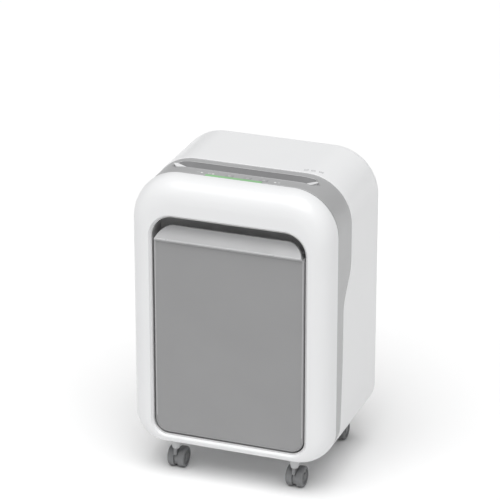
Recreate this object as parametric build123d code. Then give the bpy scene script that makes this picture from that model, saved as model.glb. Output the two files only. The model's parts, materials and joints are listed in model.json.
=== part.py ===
from build123d import *
import math
import os

# Cross-cut paper shredder with a pull-out bin, on four twin-wheel casters.
# Frame: +X to the user's right, -Y out of the front, +Z up, origin on the floor at the centre of the
# overall box. All sizes are in millimetres.

# ---- housing ------------------------------------------------------------------------------------
WIDTH = 360.0
DEPTH = 270.0
HEIGHT = 550.0
FLOOR_GAP = 58.0            # underside of the housing above the floor
TOP_R = 80.0
LOW_R = 56.0
WALL = 3.0
FRONT_Y = -DEPTH / 2
REAR_Y = DEPTH / 2
FRAME_BACK_Y = -90.0        # seam between the domed front frame and the silver band
COVER_Y = REAR_Y - 18.0     # seam between the rear shell and the back cover
COVER_R = 17.5
DOME_POWER = 2.3            # roundness of the front frame's dome
DOME_SIDE = 38.0            # how far its sides, top and bottom draw in towards the front
DOME_TOP = 45.0
DOME_LOW = 18.0
DOME_STEPS = 5
LEDGE_Z = (418.0, 424.0)    # ledges in the shell that carry the shelf

# ---- band ---------------------------------------------------------------------------------------
BAND_SINK = 1.2             # the band lies this far below the white skin
BAND_SEAM = 0.6
BAND_WIDE_Y = -20.0
BAND_WAIST_Y = -58.0
BAND_TOE_Y = -74.0
BAND_BEND_Z = 404.0
BAND_WAIST_Z = 318.0
SLEEVE = 2.5                # inner sleeve that carries the band
SLEEVE_BACK_Y = 5.0

# ---- door opening and bin -----------------------------------------------------------------------
OPEN_X = 138.5
OPEN_Z0 = 79.0
OPEN_Z1 = 485.5
OPEN_TOP_R = 39.5
OPEN_LOW_R = 27.5
LINER = 1.5
LINER_BACK_Y = -88.0
POCKET_Z = 433.0
DOOR_X = 134.7
DOOR_Z0 = 82.5
DOOR_Z1 = 441.0
DOOR_FACE_Y = -130.0
LIP_TOP_Z = 465.0
TUB_X = 131.0
TUB_Z0 = 83.0
TUB_Z1 = 420.0
TUB_FRONT_Y = -122.0
TUB_BACK_Y = 95.0
TUB_WALL = 2.5
TUB_LOW_R = 22.0
DOOR_SKIN = 3.0
DOOR_LOW_R = 24.0
OPEN_BEVEL = 1.2

# ---- cutting head -------------------------------------------------------------------------------
NIP_Y = -48.0
NIP_Z = 466.0
SYNC_MODULE = 1.5
SYNC_TEETH = 18
ROLLER_GAP = SYNC_MODULE * SYNC_TEETH
REAR_ROLL_Y = NIP_Y + ROLLER_GAP / 2
FRONT_ROLL_Y = NIP_Y - ROLLER_GAP / 2
DISC_R = 15.0
CORE_R = 11.5
SHAFT_R = 6.0
DISC_COUNT = 46
DISC_PITCH = 5.0
DISC_THICK = 2.3
DISC_START_X = -115.0
PLATE_X = 122.0
PLATE_THICK = 3.0
SHELF_Z = 424.0
RUNNING = 0.05              # radial clearance of a shaft in its bush

# ---- gear train ---------------------------------------------------------------------------------
MODULE = 1.25
DRIVE_TEETH = 54
SMALL_TEETH = 14
BIG_TEETH = 60
PINION_TEETH = 12
PRESSURE = math.radians(25)
BACKLASH = 0.1              # each tooth is thinned by this much on the pitch circle
MOTOR_Y = 45.0
MOTOR_Z = 478.0
MOTOR_R = 35.0

# ---- slot, keys and lamps -----------------------------------------------------------------------
BAND_TOP_Z = HEIGHT - BAND_SINK
SLEEVE_LOW_Z = HEIGHT - WALL - SLEEVE
SLOT_FRONT_Y = -61.0
SLOT_BACK_Y = -35.0
SLOT_TIP_X = 130.0          # the ends of the slot run a little way down the rounded shoulders
SLOT_FLAT_X = 119.0
SLOT_RIM = 2.0
THROAT_X = 113.0
THROAT_HALF = 3.0
RIM_Z = 533.0
THROAT_TOP_Z = 515.0
THROAT_LOW_Z = 485.0
KEY_Y = -76.0
KEY_X = {"power_key": -18.0, "forward_key": 14.0, "reverse_key": 43.0}
KEY_WIDE = 13.0
KEY_DEEP = 9.0
KEY_GAP = 0.3
LAMP_X = (-67.0, -47.0, 63.0)
LAMP_R = 2.2
LIGHT_X0 = -57.0
LIGHT_X1 = 43.0
LIGHT_DEEP = 4.0
BOARD_TOP_Z = 534.6
BOARD_POST_X = (-75.0, 70.0)
TACT_R = 1.7                # tact switch plunger and the key post above it

# ---- casters ------------------------------------------------------------------------------------
WHEEL_R = 18.5
WHEEL_WIDE = 12.5
WHEEL_INNER_X = 3.2
TRAIL = 12.0                # the wheels run this far behind the swivel axis
AXLE_R = 2.5
WEB_R = 15.5                # round web between the two wheels
STEM_R = 4.0
STEM_TOP_Z = 71.0
CASTERS = {
    "front_left": (-109.0, -100.0),
    "front_right": (109.0, -100.0),
    "rear_left": (-118.0, 97.0),
    "rear_right": (118.0, 97.0),
}

# ---- mains switch and cord gland on the back ----------------------------------------------------
SWITCH_X = -95.0
SWITCH_Z = 150.0
GLAND_Z = 108.0
ROCKER_Y = 126.6
ROCKER_TILT = 7.0
SWITCH_HALF_X = 16.0
SWITCH_HALF_Z = 12.5
GLAND_R = 7.0
CORD_R = 3.5
VENT_ROWS = 8
VENT_Z = 433.0
VENT_PITCH = 9.0
VENT_X = 45.0
VENT_SIZE = (76.0, 4.0)
SCREW_HEAD_R = 3.8
SCREW_R = 1.8
SCREW_SPOTS = [(-130.0, 105.0), (130.0, 105.0), (-120.0, 500.0), (120.0, 500.0)]


def save(part, name):
    """Write one node."""
    export_step(part, f"parts/{name}.step")


def panel(x0, x1, z0, z1, r_top=0.0, r_low=0.0):
    """Front-view rectangle with separate top and bottom corner radii."""
    face = Pos((x0 + x1) / 2, (z0 + z1) / 2) * Rectangle(x1 - x0, z1 - z0)
    if r_top > 0:
        face = fillet(face.vertices().sort_by(Axis.Y)[-2:], r_top)
    if r_low > 0:
        face = fillet(face.vertices().sort_by(Axis.Y)[:2], r_low)
    return face


def outline(inset):
    """Front-view outline of the housing, moved inward."""
    half = WIDTH / 2 - inset
    return panel(-half, half, FLOOR_GAP + inset, HEIGHT - inset, TOP_R - inset, LOW_R - inset)


def along_y(face, y0, y1):
    """Solid of a front-view face between two depths."""
    return extrude(Plane.XZ.offset(-y1) * face, y1 - y0)


def along_x(face, x0, x1):
    """Solid of a side-view (Y, Z) face between two stations across the width."""
    return extrude(Plane.YZ.offset(x0) * face, x1 - x0)


def along_z(face, z0, z1):
    """Solid of a plan-view face between two heights."""
    return extrude(Pos(0, 0, z0) * face, z1 - z0)


def block(x0, x1, y0, y1, z0, z1):
    """Box between two corners."""
    return Pos((x0 + x1) / 2, (y0 + y1) / 2, (z0 + z1) / 2) * Box(x1 - x0, y1 - y0, z1 - z0)


def pin_x(r, x0, x1, y, z):
    """Cylinder along X."""
    return Pos((x0 + x1) / 2, y, z) * Rot(0, 90, 0) * Cylinder(r, x1 - x0)


def pin_y(r, y0, y1, x, z):
    """Cylinder along Y."""
    return Pos(x, (y0 + y1) / 2, z) * Rot(90, 0, 0) * Cylinder(r, y1 - y0)


def pin_z(r, z0, z1, x, y):
    """Cylinder along Z."""
    return Pos(x, y, (z0 + z1) / 2) * Cylinder(r, z1 - z0)


def mirrored(part):
    """A part and its twin on the other side of the middle."""
    return part + mirror(part, Plane.YZ)


def hexagon(tip, flat, y0, y1):
    """Plan-view outline of the slot: straight sides and a blunt point at each end."""
    middle = (y0 + y1) / 2
    points = [(-tip, middle), (-flat, y0), (flat, y0), (tip, middle), (flat, y1), (-flat, y1)]
    return make_face(Polyline(points, close=True))


def dome(wall):
    """Front frame's domed body, square on the housing outline at the back, moved inward by wall."""
    sections = []
    for step in range(DOME_STEPS + 1):
        angle = math.radians(90 * step / DOME_STEPS)
        share = math.sin(angle) ** (2 / DOME_POWER)
        pull = 1 - abs(math.cos(angle)) ** (2 / DOME_POWER)
        half = WIDTH / 2 - wall - DOME_SIDE * pull
        z0 = FLOOR_GAP + wall + DOME_LOW * pull
        z1 = HEIGHT - wall - DOME_TOP * pull
        r_top = TOP_R - wall - 0.8 * DOME_SIDE * pull
        r_low = LOW_R - wall - 0.65 * DOME_SIDE * pull
        y = FRAME_BACK_Y - (FRAME_BACK_Y - FRONT_Y - wall) * share
        sections.append(Plane.XZ.offset(-y) * panel(-half, half, z0, z1, r_top, r_low))
    return loft(sections)


def band_zone(shift):
    """Side view of the band, its rear edge moved back by shift."""
    wide = BAND_WIDE_Y + shift
    waist = BAND_WAIST_Y + shift
    toe = BAND_TOE_Y + shift
    front = FRAME_BACK_Y + BAND_SEAM - shift
    high = HEIGHT + 10
    low = FLOOR_GAP - 8
    edge = Line((front, high), (wide, high))
    edge += Line((wide, high), (wide, BAND_BEND_Z))
    edge += Bezier((wide, BAND_BEND_Z), (wide, 368), (waist, 357), (waist, BAND_WAIST_Z))
    edge += Bezier((waist, BAND_WAIST_Z), (waist, 230), (waist - 3, 140), (toe, low))
    edge += Line((toe, low), (front, low))
    edge += Line((front, low), (front, high))
    return along_x(make_face(edge), -WIDTH, WIDTH)


def gear_face(module, teeth, turn, bore):
    """Involute spur gear outline, one tooth centred at the angle turn (degrees)."""
    pitch_r = module * teeth / 2
    base_r = pitch_r * math.cos(PRESSURE)
    tip_r = pitch_r + module
    root_r = pitch_r - 1.25 * module
    start_r = max(base_r, root_r)
    half_pitch = math.pi / (2 * teeth) - BACKLASH / (2 * pitch_r)
    involute = math.tan(PRESSURE) - PRESSURE

    def half_angle(r):
        slope = math.acos(min(1.0, base_r / r))
        return half_pitch + involute - (math.tan(slope) - slope)

    flank = [(root_r, half_angle(start_r))]
    for share in (0.0, 0.45, 1.0):
        r = start_r + (tip_r - start_r) * share
        if r > root_r + 0.01:
            flank.append((r, half_angle(r)))
    points = []
    for tooth in range(teeth):
        centre = math.radians(turn) + tooth * math.tau / teeth
        for r, half in flank:
            points.append((r * math.cos(centre - half), r * math.sin(centre - half)))
        for r, half in reversed(flank):
            points.append((r * math.cos(centre + half), r * math.sin(centre + half)))
    return make_face(Polyline(points, close=True)) - Circle(bore)


def gear(module, teeth, turn, bore, x0, x1, y, z):
    """Spur gear on an axis along X."""
    return along_x(Pos(y, z) * gear_face(module, teeth, turn, bore), x0, x1)


# ---- front frame, liner, band and shells --------------------------------------------------------
def slot_rim():
    """Plan-view outline of the feed slot's rim."""
    return hexagon(SLOT_TIP_X + SLOT_RIM, SLOT_FLAT_X + SLOT_RIM / 2,
                   SLOT_FRONT_Y - SLOT_RIM, SLOT_BACK_Y + SLOT_RIM)


def top_cuts():
    """Everything that comes up through the band: keys, lamps, light bar and slot."""
    cuts = along_z(slot_rim(), RIM_Z - 3, HEIGHT + 1)
    for x in KEY_X.values():
        half_x = KEY_WIDE / 2 + KEY_GAP
        half_y = KEY_DEEP / 2 + KEY_GAP
        cuts += block(x - half_x, x + half_x, KEY_Y - half_y, KEY_Y + half_y, SLEEVE_LOW_Z - 1, HEIGHT + 1)
    for x in LAMP_X:
        cuts += pin_z(LAMP_R, SLEEVE_LOW_Z - 1, HEIGHT + 1, x, KEY_Y)
    bar_back_y = FRAME_BACK_Y + LIGHT_DEEP
    cuts += block(LIGHT_X0, LIGHT_X1, FRAME_BACK_Y, bar_back_y, SLEEVE_LOW_Z - 1, HEIGHT + 1)
    return cuts


def stem_holes(r, z0, z1, names):
    """Upright holes for the named casters' stems."""
    holes = None
    for name in names:
        hole = pin_z(r, z0, z1, *CASTERS[name])
        holes = hole if holes is None else holes + hole
    return holes


def make_front_frame():
    frame = dome(0.0) - dome(WALL)
    opening = panel(-OPEN_X, OPEN_X, OPEN_Z0, OPEN_Z1, OPEN_TOP_R, OPEN_LOW_R)
    wall = 2
    collar = panel(-OPEN_X - wall, OPEN_X + wall, OPEN_Z0 - wall, OPEN_Z1 + wall,
                   OPEN_TOP_R + wall, OPEN_LOW_R + wall)
    frame += along_y(collar, FRONT_Y + 1.5, FRAME_BACK_Y - 12)
    flange = outline(WALL) - outline(WALL + SLEEVE)
    frame += along_y(flange, FRAME_BACK_Y - 4, FRAME_BACK_Y)
    frame -= along_y(opening, FRONT_Y - 1, FRAME_BACK_Y)
    wide_x = OPEN_X + OPEN_BEVEL
    wide = panel(-wide_x, wide_x, OPEN_Z0 - OPEN_BEVEL, OPEN_Z1 + OPEN_BEVEL,
                 OPEN_TOP_R + OPEN_BEVEL, OPEN_LOW_R + OPEN_BEVEL)
    frame -= loft([Plane.XZ.offset(-FRONT_Y) * wide, Plane.XZ.offset(-FRONT_Y - OPEN_BEVEL) * opening])
    return frame - stem_holes(STEM_R + 1, FLOOR_GAP - 2, FLOOR_GAP + 8, ["front_left", "front_right"])


def make_recess_liner():
    outer = panel(-OPEN_X, OPEN_X, OPEN_Z0, OPEN_Z1, OPEN_TOP_R, OPEN_LOW_R)
    inner = panel(-OPEN_X + LINER, OPEN_X - LINER, OPEN_Z0 + LINER, OPEN_Z1 - LINER,
                  OPEN_TOP_R - LINER, OPEN_LOW_R - LINER)
    ring = along_y(outer - inner, FRONT_Y + 4, LINER_BACK_Y)
    wall = panel(-OPEN_X, OPEN_X, POCKET_Z, OPEN_Z1, OPEN_TOP_R, 0)
    return ring + along_y(wall, LINER_BACK_Y, LINER_BACK_Y + 2)


def make_trim_band():
    tube = along_y(outline(BAND_SINK) - outline(WALL), FRAME_BACK_Y, SLEEVE_BACK_Y)
    return (tube & band_zone(0)) - top_cuts()


def make_rear_shell():
    shell = along_y(outline(0) - outline(WALL), FRAME_BACK_Y, COVER_Y) - band_zone(BAND_SEAM)
    shell += along_y(outline(WALL) - outline(WALL + SLEEVE), FRAME_BACK_Y, SLEEVE_BACK_Y)
    inner_x = WIDTH / 2 - WALL
    shell += mirrored(block(inner_x - 3, inner_x + 1, SLEEVE_BACK_Y - 2, COVER_Y - 9, *LEDGE_Z))
    shell -= top_cuts()
    for x in BOARD_POST_X:
        shell += pin_z(2.5, BOARD_TOP_Z, SLEEVE_LOW_Z + 1, x, KEY_Y - 1)
    seam = along_y(outline(-1) - outline(0.8), COVER_Y - 0.8, COVER_Y + 1)
    return shell - seam - stem_holes(STEM_R + 1, FLOOR_GAP - 2, FLOOR_GAP + 8, ["rear_left", "rear_right"])


def rounded_cap(inset):
    """Shallow cap behind the rear shell, its back edge rounded over, moved inward by inset."""
    cap = along_y(outline(inset), COVER_Y, REAR_Y - inset)
    back_edges = cap.faces().sort_by(Axis.Y)[-1].edges()
    return fillet(back_edges, COVER_R - inset)


def make_back_cover():
    cover = rounded_cap(0.0) - rounded_cap(WALL)
    cover += along_y(outline(WALL) - outline(WALL + 2), COVER_Y - 6, COVER_Y + 4)
    for x, z in SCREW_SPOTS:
        cover += pin_y(SCREW_HEAD_R + 3.2, COVER_Y, REAR_Y - 1, x, z)
        cover -= pin_y(SCREW_HEAD_R + 0.8, REAR_Y - 3, REAR_Y + 1, x, z)
        cover -= pin_y(SCREW_R, COVER_Y - 1, REAR_Y, x, z)
    for row in range(VENT_ROWS):
        z = VENT_Z + VENT_PITCH * row
        for x in (-VENT_X, VENT_X):
            cover -= along_y(Pos(x, z) * SlotOverall(*VENT_SIZE), COVER_Y, REAR_Y + 1)
    cover -= block(SWITCH_X - SWITCH_HALF_X, SWITCH_X + SWITCH_HALF_X, COVER_Y, REAR_Y + 1,
                   SWITCH_Z - SWITCH_HALF_Z, SWITCH_Z + SWITCH_HALF_Z)
    return cover - pin_y(GLAND_R, COVER_Y, REAR_Y + 1, SWITCH_X, GLAND_Z)


def make_back_cover_screws():
    screws = []
    for x, z in SCREW_SPOTS:
        screw = pin_y(SCREW_HEAD_R, REAR_Y - 3, REAR_Y - 0.6, x, z)
        screw += pin_y(SCREW_R, COVER_Y, REAR_Y - 3, x, z)
        screw -= block(x - 3, x + 3, REAR_Y - 1.6, REAR_Y, z - 0.5, z + 0.5)
        screw -= block(x - 0.5, x + 0.5, REAR_Y - 1.6, REAR_Y, z - 3, z + 3)
        screws.append(screw)
    return Compound(screws)


# ---- base, rails and shelf ----------------------------------------------------------------------
BASE_Z0 = 64.0
BASE_Z1 = 67.0
# half width and depth range of the plate's front tongue, middle and rear
BASE_STEPS = [(120, -111, FRAME_BACK_Y), (128, FRAME_BACK_Y, 60), (139, 60, 109)]
BOSS_R = 11.0


def make_base_plate():
    steps = [block(-half, half, y0, y1, BASE_Z0, BASE_Z1) for half, y0, y1 in BASE_STEPS]
    plate = steps[0] + steps[1] + steps[2]
    sleeve_z = FLOOR_GAP + WALL + SLEEVE
    plate += mirrored(block(60, 118, FRAME_BACK_Y + 2, SLEEVE_BACK_Y - 2, sleeve_z, BASE_Z0))
    plate += mirrored(block(60, 112, SLEEVE_BACK_Y + 5, 108, FLOOR_GAP + WALL, BASE_Z0))
    for x, y in CASTERS.values():
        plate += pin_z(BOSS_R, BASE_Z0, STEM_TOP_Z + 4, x, y)
    return plate - stem_holes(STEM_R + RUNNING, FLOOR_GAP, STEM_TOP_Z + 0.5, CASTERS)


RAIL_FRONT_Y = -84.0
RAIL_BACK_Y = 108.0
RAIL_X = 112.0              # inner edge of the track that the bin slides on


def make_bin_rails():
    """Track, foot, side guide and back stop of the bin, on both sides."""
    track_z0 = TUB_Z0 - 2.7
    rail = block(121.5, 124.5, RAIL_FRONT_Y + 4, 70, BASE_Z1, track_z0 + 0.2)
    rail += block(RAIL_X, TUB_X + 4, RAIL_FRONT_Y, RAIL_BACK_Y, track_z0, TUB_Z0 - 0.2)
    rail += block(TUB_X + 1, TUB_X + 4, RAIL_FRONT_Y, RAIL_BACK_Y, track_z0, TUB_Z0 + 45)
    rail += block(RAIL_X, TUB_X + 4, TUB_BACK_Y + 0.5, TUB_BACK_Y + 3, track_z0, TUB_Z0 + 20)
    return mirrored(rail)


def make_chassis_shelf():
    inner_x = WIDTH / 2 - WALL - SLEEVE
    shelf = block(-inner_x, inner_x, -84, COVER_Y - 6, SHELF_Z, SHELF_Z + 3)
    shelf -= block(-THROAT_X, THROAT_X, -78, -16, SHELF_Z - 1, SHELF_Z + 4)
    rib = block(140, 143, 0, COVER_Y - 10, SHELF_Z + 3, SHELF_Z + 7)
    return shelf + mirrored(rib)


# ---- feed slot ----------------------------------------------------------------------------------
def throat_void():
    """The free space of the slot, from its mouth down to the cutting rollers."""
    mouth = hexagon(SLOT_TIP_X, SLOT_FLAT_X, SLOT_FRONT_Y, SLOT_BACK_Y)
    neck = hexagon(THROAT_X + 1, THROAT_X, NIP_Y - THROAT_HALF, NIP_Y + THROAT_HALF)
    void = loft([Pos(0, 0, THROAT_TOP_Z) * neck, Pos(0, 0, BAND_TOP_Z) * mouth])
    return void + along_z(neck, THROAT_LOW_Z - 1, THROAT_TOP_Z)


def make_throat_guide():
    skirt = hexagon(THROAT_X + 3.5, THROAT_X + 2, NIP_Y - THROAT_HALF - 2, NIP_Y + THROAT_HALF + 2)
    guide = along_z(slot_rim(), RIM_Z, BAND_TOP_Z)
    guide += loft([Pos(0, 0, THROAT_TOP_Z) * skirt, Pos(0, 0, RIM_Z) * slot_rim()])
    guide += along_z(skirt, THROAT_LOW_Z, THROAT_TOP_Z)
    guide &= along_y(outline(BAND_SINK), FRAME_BACK_Y, SLEEVE_BACK_Y)
    return guide - throat_void()


def make_throat_end_ramps():
    """White blocks that close the slot's ends and slope down to the edges of the sheet."""
    points = [(105, 518), (135, 518), (135, 548), (128, 547), (108, 541), (105, 538)]
    slope = make_face(Polyline(points, close=True))
    ramp = along_y(slope, NIP_Y - 6, NIP_Y + 6)
    return mirrored(ramp & throat_void())


# ---- keys, lamps and board ----------------------------------------------------------------------
def make_key(x):
    half_x = KEY_WIDE / 2
    half_y = KEY_DEEP / 2
    key = block(x - half_x, x + half_x, KEY_Y - half_y, KEY_Y + half_y, SLEEVE_LOW_Z - 2, BAND_TOP_Z + 0.5)
    key = fillet(key.edges().filter_by(Axis.Z), 1.5)
    key += block(x - half_x - 1.5, x + half_x + 1.5, KEY_Y - half_y, KEY_Y + half_y,
                 SLEEVE_LOW_Z - 1.7, SLEEVE_LOW_Z - 0.2)
    return key + pin_z(TACT_R, BOARD_TOP_Z + 6.4, SLEEVE_LOW_Z - 1, x, KEY_Y)


def make_light_bar():
    y = FRAME_BACK_Y
    return block(LIGHT_X0, LIGHT_X1, y + 0.4, y + LIGHT_DEEP, SLEEVE_LOW_Z - 2, BAND_TOP_Z + 0.4)


def make_lamp_lenses():
    return Compound([pin_z(LAMP_R, SLEEVE_LOW_Z - 2, BAND_TOP_Z + 0.2, x, KEY_Y) for x in LAMP_X])


def make_control_board():
    board = block(-82, 77, FRAME_BACK_Y + 1, -70.5, BOARD_TOP_Z - 1.6, BOARD_TOP_Z)
    for x in KEY_X.values():
        board += block(x - 3, x + 3, KEY_Y - 3, KEY_Y + 3, BOARD_TOP_Z, BOARD_TOP_Z + 3.6)
        board += pin_z(TACT_R, BOARD_TOP_Z + 3.6, BOARD_TOP_Z + 5.5, x, KEY_Y)
    for x in LAMP_X:
        board += pin_z(1.5, BOARD_TOP_Z, BOARD_TOP_Z + 5, x, KEY_Y)
    for step in range(5):
        x = LIGHT_X0 + 10 + 20 * step
        board += block(x - 1.5, x + 1.5, FRAME_BACK_Y + 1.2, FRAME_BACK_Y + 3.2, BOARD_TOP_Z, BOARD_TOP_Z + 2)
    return board


# ---- cutting head -------------------------------------------------------------------------------
def towards(y0, z0, y1, z1):
    """Angle in the side view from one axis to another, in degrees."""
    return math.degrees(math.atan2(z1 - z0, y1 - y0))


def middle_axis():
    """Axis of the double gear, which meshes with the drive gear and with the motor pinion."""
    to_drive = MODULE * (DRIVE_TEETH + SMALL_TEETH) / 2
    to_motor = MODULE * (BIG_TEETH + PINION_TEETH) / 2
    span_y = MOTOR_Y - REAR_ROLL_Y
    span_z = MOTOR_Z - NIP_Z
    span = math.hypot(span_y, span_z)
    along = (to_drive ** 2 - to_motor ** 2 + span ** 2) / (2 * span)
    up = math.sqrt(to_drive ** 2 - along ** 2)
    y = REAR_ROLL_Y + (along * span_y - up * span_z) / span
    z = NIP_Z + (along * span_z + up * span_y) / span
    return y, z


MID_Y, MID_Z = middle_axis()
DRIVE_X = (128.0, 136.0)
SECOND_X = (138.0, 144.0)
SYNC_X = (-138.0, -128.0)


def make_roller(axis_y, offset, x0, x1):
    """Shaft with its row of notched cutting discs."""
    roller = pin_x(SHAFT_R, x0, x1, axis_y, NIP_Z) + pin_x(CORE_R, -117, 117, axis_y, NIP_Z)
    notch = make_face(Polyline([(CORE_R + 1.2, 0), (DISC_R + 1, -0.6), (DISC_R + 1, 4.4)], close=True))
    disc = Circle(DISC_R) - [Rot(0, 0, turn) * notch for turn in (0, 120, 240)]
    discs = []
    for index in range(DISC_COUNT):
        x = DISC_START_X + offset + DISC_PITCH * index
        face = Pos(axis_y, NIP_Z) * Rot(0, 0, 13 * index) * disc
        discs.append(along_x(face, x, x + DISC_THICK))
    return roller.fuse(*discs)


def make_comb(side):
    """Stripper comb whose fingers reach between the discs, side +1 behind the nip and -1 in front."""
    axis = ROLLER_GAP / 2
    fingers = Pos(axis + 11, NIP_Z) * Rectangle(14, 26) - Pos(axis, NIP_Z) * Circle(CORE_R + 0.8)
    fingers -= Pos(axis + 24.9, NIP_Z) * Rectangle(15, 40)
    bar = Pos(axis + 19, NIP_Z) * Rectangle(4, 36)
    if side < 0:
        fingers = mirror(fingers, Plane.YZ)
        bar = mirror(bar, Plane.YZ)
    offset = 0 if side > 0 else DISC_PITCH / 2
    comb = along_x(Pos(NIP_Y, 0) * bar, -PLATE_X, PLATE_X)
    teeth = []
    for index in range(DISC_COUNT - 1):
        x = DISC_START_X + offset + DISC_PITCH * index + DISC_THICK + 0.3
        teeth.append(along_x(Pos(NIP_Y, 0) * fingers, x, x + 2.1))
    return comb.fuse(*teeth)


TIE_RODS = [(-76.0, 508.0), (-10.0, 514.0), (72.0, 520.0)]
TIE_R = 4.0


def make_head_plate(side):
    """Side plate of the cutting head, with a foot on the shelf."""
    z0 = SHELF_Z + 3
    face = Pos(-1, z0 + 51.5) * Rectangle(166, 103)
    face = fillet(face.vertices().sort_by(Axis.Y)[-2:], 18)
    for y in (REAR_ROLL_Y, FRONT_ROLL_Y):
        face -= Pos(y, NIP_Z) * Circle(SHAFT_R + 3)
    for y, z in TIE_RODS:
        face -= Pos(y, z) * Circle(TIE_R)
    if side > 0:
        face -= Pos(MOTOR_Y, MOTOR_Z) * Circle(9)
        face -= Pos(MID_Y, MID_Z) * Circle(4)
    face -= Pos(NIP_Y, 530) * Rectangle(36, 36)
    plate = along_x(face, PLATE_X, PLATE_X + PLATE_THICK)
    plate += block(PLATE_X, 138, -15, 80, z0, z0 + 2)
    return plate if side > 0 else mirror(plate, Plane.YZ)


def make_tie_rods():
    rods = []
    for y, z in TIE_RODS:
        rod = pin_x(TIE_R, -129, 129, y, z)
        nut = Pos(y, z) * RegularPolygon(7, 6) - Pos(y, z) * Circle(TIE_R - 1)
        rod += mirrored(along_x(nut, PLATE_X + PLATE_THICK, PLATE_X + PLATE_THICK + 4))
        rods.append(rod)
    return Compound(rods)


def make_bushes():
    bushes = []
    for y in (REAR_ROLL_Y, FRONT_ROLL_Y):
        body = pin_x(SHAFT_R + 3, PLATE_X - 2, PLATE_X + PLATE_THICK, y, NIP_Z)
        body += pin_x(SHAFT_R + 5, PLATE_X - 2, PLATE_X, y, NIP_Z)
        body -= pin_x(SHAFT_R + RUNNING, PLATE_X - 4, PLATE_X + 5, y, NIP_Z)
        bushes.append(body)
        bushes.append(mirror(body, Plane.YZ))
    return Compound(bushes)


def make_motor_body():
    body = pin_x(MOTOR_R, 10, 112, MOTOR_Y, MOTOR_Z)
    body += pin_x(20, 2, PLATE_X, MOTOR_Y, MOTOR_Z)
    body += block(PLATE_X - 4, PLATE_X, MOTOR_Y - 30, MOTOR_Y + 30, MOTOR_Z - 30, MOTOR_Z + 30)
    for turn in range(12):
        angle = math.radians(30 * turn + 15)
        y = MOTOR_Y + MOTOR_R * math.cos(angle)
        z = MOTOR_Z + MOTOR_R * math.sin(angle)
        body -= pin_x(2, 20, 100, y, z)
    return body - pin_x(4 + RUNNING, 0, PLATE_X + 1, MOTOR_Y, MOTOR_Z)


def make_motor_shaft():
    return pin_x(4, 0, SECOND_X[1] + 3, MOTOR_Y, MOTOR_Z)


def make_motor_pinion():
    turn = towards(MOTOR_Y, MOTOR_Z, MID_Y, MID_Z) + 180 / PINION_TEETH
    return gear(MODULE, PINION_TEETH, turn, 4, SECOND_X[0] - 1, SECOND_X[1] + 1, MOTOR_Y, MOTOR_Z)


def make_double_gear():
    to_drive = towards(MID_Y, MID_Z, REAR_ROLL_Y, NIP_Z) + 180 / SMALL_TEETH
    to_motor = towards(MID_Y, MID_Z, MOTOR_Y, MOTOR_Z)
    bore = 4 + RUNNING
    part = gear(MODULE, SMALL_TEETH, to_drive, bore, *DRIVE_X, MID_Y, MID_Z)
    part += gear(MODULE, BIG_TEETH, to_motor, bore, *SECOND_X, MID_Y, MID_Z)
    hub = pin_x(7, DRIVE_X[1], SECOND_X[0], MID_Y, MID_Z)
    hub -= pin_x(bore, DRIVE_X[1] - 1, SECOND_X[1], MID_Y, MID_Z)
    return part + hub


def make_gear_pin():
    return pin_x(4, PLATE_X, 145, MID_Y, MID_Z) + pin_x(6.5, 145, 146.5, MID_Y, MID_Z)


def make_drive_gear():
    turn = towards(REAR_ROLL_Y, NIP_Z, MID_Y, MID_Z)
    part = gear(MODULE, DRIVE_TEETH, turn, SHAFT_R, *DRIVE_X, REAR_ROLL_Y, NIP_Z)
    for spoke in range(6):
        angle = math.radians(60 * spoke)
        y = REAR_ROLL_Y + 20 * math.cos(angle)
        z = NIP_Z + 20 * math.sin(angle)
        part -= pin_x(6, DRIVE_X[0] - 1, DRIVE_X[1] + 1, y, z)
    return part


def make_sync_gear(axis_y, turn):
    return gear(SYNC_MODULE, SYNC_TEETH, turn, SHAFT_R, *SYNC_X, axis_y, NIP_Z)


# ---- electrics ----------------------------------------------------------------------------------
def make_power_board():
    z = SHELF_Z + 7
    board = block(-115, -25, 20, 104, z, z + 1.6)
    for x in (-110, -30):
        for y in (25, 99):
            board += pin_z(3, SHELF_Z + 3, z, x, y)
    top = z + 1.6
    board += block(-105, -68, 30, 62, top, top + 30)
    board += pin_z(9, top, top + 25, -50, 40)
    board += block(-104, -80, 70, 92, top, top + 18)
    board += block(-62, -58, 66, 98, top, top + 28)
    for row in range(4):
        board += block(-50, -32, 62 + 9 * row, 67 + 9 * row, top, top + 10)
    return board


def make_bin_switch():
    body = block(60, 84, TUB_BACK_Y + 2.5, TUB_BACK_Y + 14, SHELF_Z - 22, SHELF_Z)
    return body + block(68, 76, TUB_BACK_Y + 0.6, TUB_BACK_Y + 2.5, SHELF_Z - 16, SHELF_Z - 8)


def make_rocker_housing():
    x, z = SWITCH_X, SWITCH_Z
    bezel = block(x - SWITCH_HALF_X, x + SWITCH_HALF_X, REAR_Y - 3, REAR_Y - 0.2,
                  z - SWITCH_HALF_Z, z + SWITCH_HALF_Z)
    housing = bezel + block(x - 14.5, x + 14.5, REAR_Y - 24, REAR_Y - 3, z - 11.8, z + 11.8)
    housing -= block(x - 11.3, x + 11.3, REAR_Y - 16, REAR_Y + 1, z - 9.8, z + 9.8)
    return housing - pin_x(1.55, x - 12.7, x + 12.7, ROCKER_Y, z)


def make_mains_rocker():
    x, z = SWITCH_X, SWITCH_Z
    face = Pos(ROCKER_Y + 1.2, z) * Rectangle(10.6, 16.8)
    face -= Pos(ROCKER_Y + 32.3, z) * Circle(27)
    rocker = along_x(face, x - 11, x + 11) + pin_x(1.5, x - 12.5, x + 12.5, ROCKER_Y, z)
    return rocker.rotate(Axis((x, ROCKER_Y, z), (1, 0, 0)), -ROCKER_TILT)


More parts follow.
